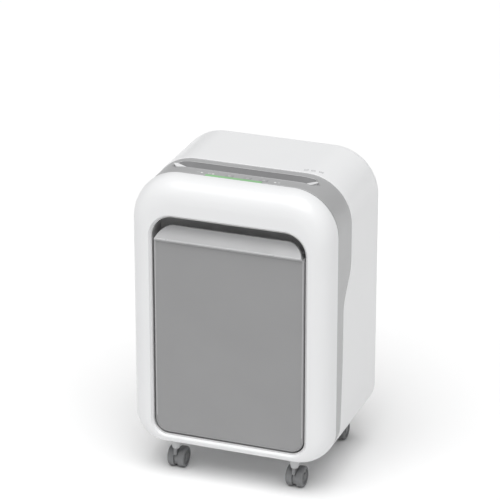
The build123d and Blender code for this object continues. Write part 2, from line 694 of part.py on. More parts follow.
def make_cord_gland():
    body = pin_y(GLAND_R, REAR_Y - 10, REAR_Y - 0.2, SWITCH_X, GLAND_Z)
    body += pin_y(9.5, REAR_Y - 6, REAR_Y - WALL, SWITCH_X, GLAND_Z)
    return body - pin_y(CORD_R, REAR_Y - 11, REAR_Y + 1, SWITCH_X, GLAND_Z)


# ---- bin ----------------------------------------------------------------------------------------
def make_bin_tub():
    outer = panel(-TUB_X, TUB_X, TUB_Z0, TUB_Z1, 0, TUB_LOW_R)
    inner_x = TUB_X - TUB_WALL
    inner = panel(-inner_x, inner_x, TUB_Z0 + TUB_WALL, TUB_Z1 + 10, 0, TUB_LOW_R - TUB_WALL)
    tub = along_y(outer, TUB_FRONT_Y, TUB_BACK_Y)
    return tub - along_y(inner, TUB_FRONT_Y + TUB_WALL, TUB_BACK_Y - TUB_WALL)


def make_bin_front_panel():
    """Panel with a stiffening rim and ribs, and the floor of the finger pocket behind its top edge."""
    skin_y = DOOR_FACE_Y + DOOR_SKIN
    outer = panel(-DOOR_X, DOOR_X, DOOR_Z0, DOOR_Z1, 0, DOOR_LOW_R)
    door = along_y(outer, DOOR_FACE_Y, skin_y)
    rim = outer - panel(-DOOR_X + 2.5, DOOR_X - 2.5, DOOR_Z0 - 40, DOOR_Z1 - 8, 0, 0)
    door += along_y(rim, skin_y, TUB_FRONT_Y)
    for x in (-60.0, 0.0, 60.0):
        door += block(x - 1, x + 1, skin_y, TUB_FRONT_Y, DOOR_Z0, DOOR_Z1 - 8)
    floor_x = DOOR_X - 1
    return door + block(-floor_x, floor_x, TUB_FRONT_Y - 2, LINER_BACK_Y - 0.6, POCKET_Z - 3, POCKET_Z)


def make_bin_handle_lip():
    z = DOOR_Z1
    points = [(DOOR_FACE_Y + 3, z), (FRONT_Y, z), (FRONT_Y, z + 2.5), (-118.5, LIP_TOP_Z),
              (-115, LIP_TOP_Z - 0.5), (DOOR_FACE_Y + 4, z + 5)]
    lip = along_x(make_face(Polyline(points, close=True)), -DOOR_X, DOOR_X)
    return lip & along_y(panel(-DOOR_X, DOOR_X, z - 60, LIP_TOP_Z, 34, 0), FRONT_Y - 1, -100)


# ---- casters ------------------------------------------------------------------------------------
def make_caster(name, x, y):
    """Stem, housing, axle and twin wheels of one caster whose swivel axis is at x, y."""
    axle_y = y + TRAIL
    top_z = FLOOR_GAP - 0.5
    stem_z = 2 * WHEEL_R + 4
    stem = pin_z(STEM_R, stem_z, STEM_TOP_Z, x, y)
    cone = Pos(x, y, 47) * Cone(6.5, 9.5, 14)
    web_top = 2 * WHEEL_R + 8
    half_web = WHEEL_INNER_X - 0.4
    web_points = [(y - 6.2, web_top), (y - 6.2, WHEEL_R + 9), (axle_y, WHEEL_R), (y + 6.2, web_top)]
    web = along_x(make_face(Polyline(web_points, close=True)), x - half_web, x + half_web)
    web += pin_x(WEB_R, x - half_web, x + half_web, axle_y, WHEEL_R)
    housing = cone + pin_z(10, 54, top_z, x, y) + web
    housing -= pin_z(STEM_R, stem_z, top_z + 1, x, y)
    housing -= pin_x(AXLE_R + RUNNING, x - 4, x + 4, axle_y, WHEEL_R)
    axle_half = WHEEL_INNER_X + WHEEL_WIDE - 2
    axle = pin_x(AXLE_R, x - axle_half, x + axle_half, axle_y, WHEEL_R)
    wheel = Rot(0, 90, 0) * Cylinder(WHEEL_R, WHEEL_WIDE)
    rims = wheel.edges().filter_by(GeomType.CIRCLE).sort_by(Axis.X)
    wheel = fillet(rims[-1], 3.5)
    wheel = fillet(wheel.edges().filter_by(GeomType.CIRCLE).sort_by(Axis.X)[0], 1.2)
    half = WHEEL_WIDE / 2
    wheel -= pin_x(13, half - 2.5, half + 1, 0, 0) - pin_x(6, half - 3, half + 2, 0, 0)
    wheel -= pin_x(AXLE_R, -half - 1, half - 2, 0, 0)
    right = Pos(x + WHEEL_INNER_X + half, axle_y, WHEEL_R) * wheel
    left = mirror(right, Plane.YZ.offset(x))
    save(stem, f"caster_stem_{name}")
    save(housing, f"caster_housing_{name}")
    save(axle, f"caster_axle_{name}")
    save(Compound([right, left]), f"caster_wheels_{name}")


os.makedirs("parts", exist_ok=True)

nodes = {
    "front_frame": make_front_frame(),
    "recess_liner": make_recess_liner(),
    "trim_band": make_trim_band(),
    "rear_shell": make_rear_shell(),
    "back_cover": make_back_cover(),
    "back_cover_screws": make_back_cover_screws(),
    "base_plate": make_base_plate(),
    "bin_rails": make_bin_rails(),
    "chassis_shelf": make_chassis_shelf(),
    "throat_guide": make_throat_guide(),
    "throat_end_ramps": make_throat_end_ramps(),
    "light_bar": make_light_bar(),
    "lamp_lenses": make_lamp_lenses(),
    "control_board": make_control_board(),
    "head_plate_left": make_head_plate(-1),
    "head_plate_right": make_head_plate(1),
    "head_tie_rods": make_tie_rods(),
    "roller_bushes": make_bushes(),
    "comb_front": make_comb(-1),
    "comb_rear": make_comb(1),
    "motor_body": make_motor_body(),
    "motor_shaft": make_motor_shaft(),
    "motor_pinion": make_motor_pinion(),
    "double_gear": make_double_gear(),
    "double_gear_pin": make_gear_pin(),
    "drive_gear": make_drive_gear(),
    "cutter_roller_rear": make_roller(REAR_ROLL_Y, 0.0, -140, 137),
    "cutter_roller_front": make_roller(FRONT_ROLL_Y, DISC_PITCH / 2, -140, 126),
    "sync_gear_rear": make_sync_gear(REAR_ROLL_Y, 180),
    "sync_gear_front": make_sync_gear(FRONT_ROLL_Y, 180 / SYNC_TEETH),
    "power_board": make_power_board(),
    "bin_switch": make_bin_switch(),
    "rocker_housing": make_rocker_housing(),
    "mains_rocker": make_mains_rocker(),
    "cord_gland": make_cord_gland(),
    "bin_tub": make_bin_tub(),
    "bin_front_panel": make_bin_front_panel(),
    "bin_handle_lip": make_bin_handle_lip(),
}
for key_name, key_x in KEY_X.items():
    nodes[key_name] = make_key(key_x)
for node_name, node in nodes.items():
    save(node, node_name)
for caster_name, (swivel_x, swivel_y) in CASTERS.items():
    make_caster(caster_name, swivel_x, swivel_y)
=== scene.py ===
"""Looks of a paper shredder with a pull-out bin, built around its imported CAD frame.

Sizes here are in millimetres in the frame's own axes (+X right, -Y front, +Z up, origin on the floor),
and every mesh is scaled to metres as it is made.
"""

import json
import math

import bmesh
import bpy
from mathutils import Matrix, Vector


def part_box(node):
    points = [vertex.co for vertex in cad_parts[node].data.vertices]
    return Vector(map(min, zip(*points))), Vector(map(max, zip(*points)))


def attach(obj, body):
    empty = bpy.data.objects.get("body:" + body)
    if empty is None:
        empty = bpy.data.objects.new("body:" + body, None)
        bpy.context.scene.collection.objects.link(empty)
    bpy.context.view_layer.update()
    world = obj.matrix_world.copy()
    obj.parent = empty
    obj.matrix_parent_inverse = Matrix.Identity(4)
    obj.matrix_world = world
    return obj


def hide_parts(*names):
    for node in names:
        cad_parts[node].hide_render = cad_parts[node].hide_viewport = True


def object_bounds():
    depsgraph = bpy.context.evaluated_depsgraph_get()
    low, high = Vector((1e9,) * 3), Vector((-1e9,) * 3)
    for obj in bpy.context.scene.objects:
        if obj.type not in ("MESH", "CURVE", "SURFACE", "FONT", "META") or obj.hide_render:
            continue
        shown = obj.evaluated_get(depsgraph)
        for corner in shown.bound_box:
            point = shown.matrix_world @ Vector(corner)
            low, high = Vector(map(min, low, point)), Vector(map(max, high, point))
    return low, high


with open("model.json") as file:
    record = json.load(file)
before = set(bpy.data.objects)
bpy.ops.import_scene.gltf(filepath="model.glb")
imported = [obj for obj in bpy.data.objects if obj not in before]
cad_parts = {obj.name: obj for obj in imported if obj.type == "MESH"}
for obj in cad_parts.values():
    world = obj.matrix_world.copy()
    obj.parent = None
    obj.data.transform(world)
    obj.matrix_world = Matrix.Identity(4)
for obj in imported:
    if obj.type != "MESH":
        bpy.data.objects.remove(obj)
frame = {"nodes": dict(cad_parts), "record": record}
cad_low, cad_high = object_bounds()

MM = 0.001
SMOOTH = math.radians(32)


def box(node):
    """Lowest and highest corner of a CAD node, in millimetres."""
    low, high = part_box(node)
    return low / MM, high / MM


# ---- sizes --------------------------------------------------------------------------------------
SHELL_LOW, SHELL_HIGH = box("rear_shell")
FRAME_HIGH = box("front_frame")[1]
COVER_HIGH = box("back_cover")[1]
DOOR_LOW, DOOR_HIGH = box("bin_front_panel")
LIP_LOW, LIP_HIGH = box("bin_handle_lip")
LIP_TOP_R = 34.0
LIP_FOOT = 3.4              # height of the upright bead under the slope
LIP_SLOPE_Y = -134.6        # where the slope starts
LIP_SLOPE_DEEP = 16.1
LIP_SAG = 0.9               # hollow of the slope
LINER_LOW, LINER_HIGH = box("recess_liner")
GUIDE_LOW, GUIDE_HIGH = box("throat_guide")

HALF = SHELL_HIGH.x
BASE_Z = SHELL_LOW.z
TOP_Z = SHELL_HIGH.z
TOP_R = 80.0
LOW_R = 56.0
WALL = 3.0
FRONT_Y = cad_low.y / MM
SEAM_Y = FRAME_HIGH.y       # back edge of the front frame
COVER_Y = SHELL_HIGH.y      # back edge of the rear shell
COVER_R = 17.5
SHELL_SEAM = 0.8            # groove between the rear shell and the back cover

DOME_POWER = 2.3
DOME_SIDE = 38.0
DOME_TOP = 45.0
DOME_LOW = 18.0
DOME_STEPS = 22
FRAME_EDGE_R = 1.5          # rounding of the frame's back edge

BAND_SINK = 1.2
BAND_GAP = 0.6
BAND_EDGE_R = 0.35
SHELL_EDGE_R = 1.15         # rounding of the rear shell's front edge
FRAME_GAP = 3.6             # dark channel between the front frame and the band, with the light bar in it; its darkness is real shade plus the sleeve below painted dark as shade
BAND_EDGE = [               # rear edge of the band in the side view: (y, z) of two Bezier spans
    ((-20.0, 404.0), (-20.0, 368.0), (-58.0, 357.0), (-58.0, 318.0)),
    ((-58.0, 318.0), (-58.0, 230.0), (-61.0, 140.0), (-74.0, 50.0)),
]
BAND_TOP_Z = TOP_Z - BAND_SINK
SLEEVE = 2.5
SLEEVE_BACK_Y = 5.0

OPEN_X = LINER_HIGH.x
OPEN_Z0 = LINER_LOW.z
OPEN_Z1 = LINER_HIGH.z
OPEN_TOP_R = 39.5
OPEN_LOW_R = 27.5
OPEN_BEVEL = 3.0            # width of the bevel round the opening
OPEN_BEVEL_DEEP = 4.5       # and its depth
OPEN_COLLAR = 2.0           # wall of the frame's collar round the liner
OPEN_COLLAR_Y = SEAM_Y - 12
LINER_GAP = 0.05
LINER = 1.5
LINER_EDGE = 0.3
LINER_FRONT_Y = FRONT_Y + 4
LINER_BACK_Y = -88.0
POCKET_Z = 433.0
DOOR_LOW_R = 24.0
DOOR_WALL = 2.5
DOOR_DEEP = 8.0
DOOR_ROUND = 3.0            # rounding of the door's front edges
DOOR_RIDGE = 0.8            # ridge just inside them; on the sides it and the rounding's end carry a painted highlight line

SLOT_RIM = 2.0
RIM_DEEP = 1.5              # the rim's silver reaches this far below the band's skin
SLOT_GROOVE = 0.5           # open line between the slot's rim and the band
SLOT_MIDDLE_Y = (GUIDE_LOW.y + GUIDE_HIGH.y) / 2
SLOT_HALF_Y = (GUIDE_HIGH.y - GUIDE_LOW.y) / 2 - SLOT_RIM
SLOT_TIP_X = GUIDE_HIGH.x - SLOT_RIM
SLOT_FLAT_X = SLOT_TIP_X - 11
NIP_Y = -48.0
THROAT_X = 113.0
THROAT_HALF = 3.0
THROAT_TOP_Z = 515.0

KEY_LOW, KEY_HIGH = box("power_key")
KEY_Y = (KEY_LOW.y + KEY_HIGH.y) / 2
KEY_FLANGE = 1.5            # the key's foot is this much wider than its top, each side
KEY_HALF_Y = (KEY_HIGH.y - KEY_LOW.y) / 2
KEY_GAP = 0.3
KEY_R = 1.5
KEY_POST_R = 1.7
KEY_DISH = 0.12             # hollow of the key's top
KEYS = ("power_key", "forward_key", "reverse_key")
LAMP_X = (-67.0, -47.0, 63.0)
LAMP_R = 2.2
LIGHT_LENS = 3.4            # how far the light bar's lens reaches over the band
LIGHT_GAP = 0.1
LIGHT_BACK_Y = box("light_bar")[1].y + LIGHT_LENS
SIGN_X = (94.0, 106.0, 119.0)
SIGN_Y = (-8.0, -7.0, -4.0)
INK_THICK = 0.11
INK_SINK = 0.05

VENT_ROWS = 8
VENT_X = 45.0
VENT_Z = 433.0
VENT_PITCH = 9.0
VENT_HALF_X = 38.0
VENT_HALF_Z = 2.0
SCREW_SPOTS = [(-130.0, 105.0), (130.0, 105.0), (-120.0, 500.0), (120.0, 500.0)]
SCREW_HOLE_R = 4.6
GLAND_HOLE_R = 7.1

WHEEL_INNER_X = 3.2         # half the space between a caster's two wheels
WEB_SHADE_TOP = 3.2               # the painted shade on the web between the wheels ends this far above them
WHEEL_EDGE = 1.2            # rounding of a wheel's inner edge
WHEEL_ROUND = 3.5           # and of its outer edge
WHEEL_DISH = [              # (depth, radius) of the ring pressed into a wheel's side
    (0.0, 14.2), (0.3, 13.4), (1.4, 13.0), (2.3, 12.7), (2.5, 12.2), (2.5, 7.2), (2.2, 6.6), (0.4, 6.2),
    (0.0, 5.6),
]
CASTERS = ("front_left", "front_right", "rear_left", "rear_right")


# ---- mesh tools ---------------------------------------------------------------------------------
def rounded_outline(half, z0, z1, r_top, r_low, arc=16, side=56, flat=20):
    """Front-view outline with rounded corners as (x, z) points, always the same number of them."""
    points = []

    def corner(x, z, r, start):
        for step in range(arc + 1):
            angle = math.radians(start + 90 * step / arc)
            points.append((x + r * math.cos(angle), z + r * math.sin(angle)))

    def run(start, end, steps):
        for step in range(1, steps):
            share = step / steps
            points.append((start[0] + (end[0] - start[0]) * share, start[1] + (end[1] - start[1]) * share))

    corner(half - r_low, z0 + r_low, r_low, -90)
    run((half, z0 + r_low), (half, z1 - r_top), side)
    corner(half - r_top, z1 - r_top, r_top, 0)
    run((half - r_top, z1), (r_top - half, z1), flat)
    corner(r_top - half, z1 - r_top, r_top, 90)
    run((-half, z1 - r_top), (-half, z0 + r_low), side)
    corner(r_low - half, z0 + r_low, r_low, 180)
    run((r_low - half, z0), (half - r_low, z0), flat)
    return points


def housing_outline(inset):
    """Outline of the housing, moved inward."""
    return rounded_outline(HALF - inset, BASE_Z + inset, TOP_Z - inset, TOP_R - inset, LOW_R - inset)


def opening_outline(grow):
    """Outline of the front opening, moved outward."""
    return rounded_outline(OPEN_X + grow, OPEN_Z0 - grow, OPEN_Z1 + grow,
                           OPEN_TOP_R + grow, OPEN_LOW_R + grow)


def at_y(points, y):
    """Ring of 3-D points from (x, z) pairs; y is a number or a function of z."""
    return [(x, y(z) if callable(y) else y, z) for x, z in points]


def add_tube(bm, rings, closed=True, material=0):
    """Quads through rings of equal length; closed joins the last ring to the first."""
    rows = [[bm.verts.new(point) for point in ring] for ring in rings]
    count = len(rows[0])
    for i in range(len(rows) if closed else len(rows) - 1):
        row, after = rows[i], rows[(i + 1) % len(rows)]
        for j in range(count):
            face = bm.faces.new((row[j], row[(j + 1) % count], after[(j + 1) % count], after[j]))
            face.material_index = material
    return rows


def add_loft(bm, rings, material=0):
    """Closed solid through rings, with a flat face on the first and last one."""
    rows = add_tube(bm, rings, closed=False, material=material)
    for row in (rows[0], rows[-1]):
        bm.faces.new(row).material_index = material
    return rows


def add_block(bm, low, high, material=0):
    """Box between two corners."""
    x0, y0, z0 = low
    x1, y1, z1 = high
    rings = [[(x0, y0, z), (x1, y0, z), (x1, y1, z), (x0, y1, z)] for z in (z0, z1)]
    add_loft(bm, rings, material)


def add_lathe(bm, profile, centre, axis, steps=48, material=0):
    """Solid of revolution from (distance along the axis, radius) pairs; a zero radius closes an end."""
    turn = {"x": Matrix.Rotation(math.radians(90), 4, "Y"), "y": Matrix.Rotation(math.radians(-90), 4, "X"),
            "z": Matrix.Identity(4)}[axis]
    rows = []
    for along, radius in profile:
        ring = []
        for step in range(steps if radius > 0 else 1):
            angle = math.tau * step / steps
            local = Vector((radius * math.cos(angle), radius * math.sin(angle), along))
            ring.append(bm.verts.new(Vector(centre) + turn @ local))
        rows.append(ring)
    pairs = list(zip(rows, rows[1:]))
    if profile[0][1] > 0 and profile[-1][1] > 0:
        pairs.append((rows[-1], rows[0]))
    for row, after in pairs:
        for step in range(steps):
            ring = [row[step % len(row)], row[(step + 1) % steps % len(row)],
                    after[(step + 1) % steps % len(after)], after[step % len(after)]]
            face = bm.faces.new(list(dict.fromkeys(ring)))
            face.material_index = material


def flatten(bm):
    """Fix the normals of a mesh whose parts are all closed."""
    bmesh.ops.recalc_face_normals(bm, faces=bm.faces)


def shade(mesh):
    """Smooth shading that breaks at real edges."""
    for polygon in mesh.polygons:
        polygon.use_smooth = True
    mesh.set_sharp_from_angle(angle=SMOOTH)


def make_object(name, bm, materials):
    """Scene object in metres from a mesh in millimetres."""
    bmesh.ops.scale(bm, vec=(MM, MM, MM), verts=bm.verts)
    flatten(bm)
    mesh = bpy.data.meshes.new(name)
    bm.to_mesh(mesh)
    bm.free()
    for material in materials:
        mesh.materials.append(material)
    shade(mesh)
    piece = bpy.data.objects.new(name, mesh)
    bpy.context.scene.collection.objects.link(piece)
    return piece


def apply_modifiers(piece):
    """Replace a piece's mesh by its modified one."""
    graph = bpy.context.evaluated_depsgraph_get()
    mesh = bpy.data.meshes.new_from_object(piece.evaluated_get(graph))
    old = piece.data
    piece.modifiers.clear()
    piece.data = mesh
    mesh.name = piece.name
    bpy.data.meshes.remove(old)


def cut(piece, cutter_mesh, operation="DIFFERENCE"):
    """Exact boolean of a piece with a mesh in millimetres."""
    cutter = make_object("cutter", cutter_mesh, [])
    modifier = piece.modifiers.new("cut", "BOOLEAN")
    modifier.operation = operation
    modifier.solver = "EXACT"
    modifier.object = cutter
    apply_modifiers(piece)
    bpy.data.objects.remove(cutter)
    shade(piece.data)


def soften(piece, width, angle=38):
    """Round a piece's sharp edges by a width in millimetres."""
    modifier = piece.modifiers.new("soften", "BEVEL")
    modifier.width = width * MM
    modifier.segments = 2
    modifier.limit_method = "ANGLE"
    modifier.angle_limit = math.radians(angle)
    modifier.use_clamp_overlap = True
    modifier.harden_normals = False
    apply_modifiers(piece)
    shade(piece.data)


def place(piece, body, slot, *nodes):
    """Even a piece's shading, ride it on its body and let it stand for its CAD nodes; its slot argument is
    not used.
    """
    modifier = piece.modifiers.new("even", "WEIGHTED_NORMAL")
    modifier.keep_sharp = True
    apply_modifiers(piece)
    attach(piece, body)
    if nodes:
        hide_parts(*nodes)


def refined(node, body, slot, material, width):
    """Copy of a CAD node with rounded edges and clean flat faces, standing for it."""
    bm = bmesh.new()
    bm.from_mesh(frame["nodes"][node].data)
    bmesh.ops.remove_doubles(bm, verts=bm.verts, dist=2e-6)
    bmesh.ops.dissolve_limit(bm, angle_limit=math.radians(0.6), verts=bm.verts, edges=bm.edges)
    flatten(bm)
    mesh = bpy.data.meshes.new(node + "_skin")
    bm.to_mesh(mesh)
    bm.free()
    for name in ("custom_normal", "sharp_face", "sharp_edge"):
        if name in mesh.attributes:
            mesh.attributes.remove(mesh.attributes[name])
    mesh.materials.clear()
    mesh.materials.append(material)
    for polygon in mesh.polygons:
        polygon.material_index = 0
    piece = bpy.data.objects.new(node + "_skin", mesh)
    bpy.context.scene.collection.objects.link(piece)
    soften(piece, width)
    place(piece, body, slot, node)
    return piece


# ---- materials ----------------------------------------------------------------------------------
def link(tree, start, end):
    """Join an output socket to an input socket."""
    tree.links.new(start, end)


def noise(tree, coordinates, scale, detail=3.0, roughness=0.5, stretch=(1, 1, 1)):
    """Noise in object space; scale is in repeats a metre."""
    mapping = tree.nodes.new("ShaderNodeMapping")
    mapping.inputs["Scale"].default_value = [scale * share for share in stretch]
    link(tree, coordinates, mapping.inputs["Vector"])
    texture = tree.nodes.new("ShaderNodeTexNoise")
    texture.inputs["Scale"].default_value = 1.0
    texture.inputs["Detail"].default_value = detail
    texture.inputs["Roughness"].default_value = roughness
    link(tree, mapping.outputs["Vector"], texture.inputs["Vector"])
    return texture.outputs["Fac"]


def spread(tree, value, low, high, from_low=0.3, from_high=0.7):
    """Map a noise value to a range."""
    node = tree.nodes.new("ShaderNodeMapRange")
    node.inputs["From Min"].default_value = from_low
    node.inputs["From Max"].default_value = from_high
    node.inputs["To Min"].default_value = low
    node.inputs["To Max"].default_value = high
    link(tree, value, node.inputs["Value"])
    return node.outputs["Result"]


def blend_colors(tree, share, first, second):
    """Colour between two fixed colours by a share."""
    node = tree.nodes.new("ShaderNodeMix")
    node.data_type = "RGBA"
    node.inputs[6].default_value = (*first, 1)
    node.inputs[7].default_value = (*second, 1)
    link(tree, share, node.inputs[0])
    return node.outputs[2]


def finish(name, color, roughness, tint=0.04, tint_scale=9.0, rough_change=0.06, rough_scale=60.0,
           bump=0.004, bump_scale=700.0, scuffs=0.0, metallic=0.0, coat=0.0, coat_roughness=0.1,
           specular=0.5, glow=0.0, stretch=(1, 1, 1), speckle=0.0):
    """Procedural material: drifting colour, uneven roughness, fine surface grain and light scuffs."""
    material = bpy.data.materials.new(name)
    material.use_nodes = True
    tree = material.node_tree
    shader = tree.nodes["Principled BSDF"]
    coordinates = tree.nodes.new("ShaderNodeTexCoord").outputs["Object"]
    drift = noise(tree, coordinates, tint_scale, detail=4.0)
    dark = [channel * (1 - tint) for channel in color]
    light = [min(1.0, channel * (1 + tint)) for channel in color]
    base = blend_colors(tree, spread(tree, drift, 0, 1), dark, light)
    if speckle > 0:
        grain = noise(tree, coordinates, bump_scale, detail=2.0)
        speck = tree.nodes.new("ShaderNodeMix")
        speck.data_type = "RGBA"
        speck.blend_type = "MULTIPLY"
        speck.inputs[0].default_value = speckle
        link(tree, base, speck.inputs[6])
        tone = blend_colors(tree, spread(tree, grain, 0, 1), (0.55, 0.55, 0.55), (1.0, 1.0, 1.0))
        link(tree, tone, speck.inputs[7])
        base = speck.outputs[2]
    link(tree, base, shader.inputs["Base Color"])
    uneven = noise(tree, coordinates, rough_scale, detail=5.0, roughness=0.6, stretch=stretch)
    rough = spread(tree, uneven, roughness - rough_change, roughness + rough_change)
    if scuffs > 0:
        marks = noise(tree, coordinates, 24.0, detail=8.0, roughness=0.75, stretch=(1, 1, 0.35))
        worn = spread(tree, marks, 0.0, scuffs, 0.60, 0.78)
        total = tree.nodes.new("ShaderNodeMath")
        total.operation = "ADD"
        total.use_clamp = True
        link(tree, rough, total.inputs[0])
        link(tree, worn, total.inputs[1])
        rough = total.outputs[0]
    link(tree, rough, shader.inputs["Roughness"])
    relief = tree.nodes.new("ShaderNodeBump")
    relief.inputs["Strength"].default_value = 0.6
    relief.inputs["Distance"].default_value = bump * MM
    link(tree, noise(tree, coordinates, bump_scale, detail=3.0, stretch=stretch), relief.inputs["Height"])
    link(tree, relief.outputs["Normal"], shader.inputs["Normal"])
    shader.inputs["Metallic"].default_value = metallic
    shader.inputs["Coat Weight"].default_value = coat
    shader.inputs["Coat Roughness"].default_value = coat_roughness
    shader.inputs["Specular IOR Level"].default_value = specular
    if glow > 0:
        shader.inputs["Emission Color"].default_value = (*color, 1)
        shader.inputs["Emission Strength"].default_value = glow
    return material


WHITE = finish("white_gloss_plastic", (0.80, 0.804, 0.81), 0.32, tint=0.006, tint_scale=6.0,
               rough_change=0.03, rough_scale=14.0, bump=0.001, bump_scale=260, coat=0.10,
               coat_roughness=0.15, specular=0.4)
BAND = finish("silver_band_paint", (0.48, 0.482, 0.486), 0.42, tint=0.02, rough_change=0.04, rough_scale=20.0,
              bump=0.002, bump_scale=1500, metallic=0.25, speckle=0.08)
PANEL = finish("grey_panel_paint", (0.30, 0.30, 0.303), 0.48, tint=0.02, rough_change=0.04, rough_scale=16.0,
               bump=0.002, bump_scale=1300, metallic=0.10, speckle=0.06)
# Lighter copy of the grey panel paint: a painted highlight line on the door's side edges
PANEL_EDGE_HIGHLIGHT = finish("grey_panel_painted_highlight", (0.42, 0.42, 0.425), 0.38, tint=0.02, bump=0.002, metallic=0.15,
                    speckle=0.06)
LIP = finish("silver_lip_paint", (0.35, 0.351, 0.355), 0.36, tint=0.02, rough_change=0.05, rough_scale=20.0,
             bump=0.002, bump_scale=1500, metallic=0.25, speckle=0.06)
# Lighter copy of the lip paint: a painted highlight along the lip's lower front edge
LIP_EDGE_HIGHLIGHT = finish("silver_lip_painted_highlight", (0.52, 0.522, 0.528), 0.32, tint=0.02, bump=0.002, metallic=0.2,
                  speckle=0.05)
RECESS = finish("recess_grey_plastic", (0.62, 0.62, 0.623), 0.50, tint=0.05, bump=0.004, bump_scale=900,
                speckle=0.12)
SLOT = finish("slot_grey_plastic", (0.34, 0.34, 0.345), 0.42, tint=0.05, bump=0.004, bump_scale=900,
              speckle=0.12)
DARK = finish("dark_plastic", (0.045, 0.045, 0.048), 0.50, tint=0.10, bump=0.005, bump_scale=800,
              scuffs=0.08, speckle=0.3)
KEY = finish("key_silver_plastic", (0.43, 0.432, 0.438), 0.36, tint=0.02, bump=0.002, metallic=0.20,
             speckle=0.06)
GREEN = finish("light_green_lens", (0.27, 0.52, 0.26), 0.34, tint=0.10, tint_scale=30, bump=0.002,
               glow=0.08, coat=0.1)
LAMP = finish("lamp_white_lens", (0.74, 0.75, 0.74), 0.22, tint=0.05, tint_scale=400, bump=0.002, glow=0.06)
BOARD = finish("circuit_board_laminate", (0.02, 0.12, 0.05), 0.42, tint=0.25, tint_scale=160, bump=0.01,
               bump_scale=500, rough_change=0.1)
ZINC = finish("zinc_plate", (0.62, 0.63, 0.64), 0.36, tint=0.10, tint_scale=60, bump=0.004, bump_scale=300,
              metallic=1.0, rough_change=0.12, rough_scale=90, speckle=0.2)
STEEL = finish("turned_steel", (0.55, 0.555, 0.56), 0.28, tint=0.06, bump=0.004, bump_scale=500,
               metallic=1.0, stretch=(6, 1, 1), rough_change=0.08)
BRASS = finish("bush_brass", (0.60, 0.44, 0.20), 0.34, tint=0.10, tint_scale=120, bump=0.004, metallic=1.0)
NYLON = finish("gear_nylon", (0.72, 0.70, 0.64), 0.46, tint=0.05, tint_scale=60, bump=0.005, bump_scale=600,
               speckle=0.1)
CASTER = finish("caster_grey_plastic", (0.52, 0.525, 0.53), 0.42, tint=0.04, bump=0.004, bump_scale=800,
                scuffs=0.06, speckle=0.10)
# Darker copy of the caster grey: painted shade on the web between the two wheels
CASTER_WEB_SHADE = finish("caster_web_painted_shade", (0.24, 0.243, 0.248), 0.46, tint=0.05, bump=0.004, bump_scale=800,
                    scuffs=0.06, speckle=0.10)
WHEEL = finish("caster_wheel_plastic", (0.21, 0.213, 0.218), 0.46, tint=0.06, tint_scale=60, bump=0.005,
               bump_scale=900, scuffs=0.10, speckle=0.15)
INK_WHITE = finish("printed_white_ink", (0.85, 0.85, 0.85), 0.5, tint=0.03, tint_scale=300)
INK_GREY = finish("printed_grey_ink", (0.36, 0.36, 0.37), 0.5, tint=0.05, tint_scale=300)

SLOT_FINISH = {
    "white_gloss": WHITE, "silver_band": BAND, "grey_panel": PANEL, "silver_lip": LIP, "recess_grey": RECESS,
    "dark_plastic": DARK, "key_silver": KEY, "light_green": GREEN, "lamp_white": LAMP,
    "circuit_board": BOARD, "zinc_plate": ZINC, "steel": STEEL, "bush_brass": BRASS, "gear_nylon": NYLON,
    "caster_grey": CASTER, "caster_wheel": WHEEL,
}


# ---- housing shapes -----------------------------------------------------------------------------
def bezier(points, share):
    """Point on a cubic Bezier span."""
    rest = 1 - share
    weights = (rest ** 3, 3 * rest ** 2 * share, 3 * rest * share ** 2, share ** 3)
    return [sum(w * p[i] for w, p in zip(weights, points)) for i in (0, 1)]


def band_edge(z):
    """Depth of the band's rear edge at a height."""
    if z >= BAND_EDGE[0][0][1]:
        return BAND_EDGE[0][0][0]
    span = BAND_EDGE[0] if z >= BAND_EDGE[1][0][1] else BAND_EDGE[1]
    low, high = 0.0, 1.0
    for _ in range(30):
        middle = (low + high) / 2
        if bezier(span, middle)[1] > z:
            low = middle
        else:
            high = middle
    return bezier(span, low)[0]


def dome_ring(angle, wall):
    """Ring of the front frame's dome; the angle runs from 0 at the seam to 90 at the flat front."""
    turn = math.radians(angle)
    share = math.sin(turn) ** (2 / DOME_POWER)
    pull = 1 - max(0.0, math.cos(turn)) ** (2 / DOME_POWER)
    points = rounded_outline(HALF - wall - DOME_SIDE * pull, BASE_Z + wall + DOME_LOW * pull,
                             TOP_Z - wall - DOME_TOP * pull, TOP_R - wall - 0.8 * DOME_SIDE * pull,
                             LOW_R - wall - 0.65 * DOME_SIDE * pull)
    return at_y(points, SEAM_Y - (SEAM_Y - FRONT_Y - wall) * share)


def make_front_frame():
    rings = []
    for step in range(5):
        turn = math.radians(90 * step / 4)
        inset = FRAME_EDGE_R * (1 - math.sin(turn))
        rings.append(at_y(housing_outline(inset), SEAM_Y - FRAME_EDGE_R * (1 - math.cos(turn))))
    for step in range(1, DOME_STEPS + 1):
        rings.append(dome_ring(3 + 87 * step / DOME_STEPS, 0.0))
    rings.append(at_y(opening_outline(OPEN_BEVEL), FRONT_Y))
    rings.append(at_y(opening_outline(LINER_GAP), FRONT_Y + OPEN_BEVEL_DEEP))
    rings.append(at_y(opening_outline(LINER_GAP), OPEN_COLLAR_Y))
    rings.append(at_y(opening_outline(OPEN_COLLAR), OPEN_COLLAR_Y))
    rings.append(at_y(opening_outline(OPEN_COLLAR), FRONT_Y + WALL + 0.6))
    for angle in (80, 60, 40, 20, 6):
        rings.append(dome_ring(angle, WALL))
    rings.append(at_y(housing_outline(WALL), SEAM_Y))
    bm = bmesh.new()
    add_tube(bm, rings)
    place(make_object("front_frame_skin", bm, [WHITE]), "housing", "white_gloss", "front_frame")


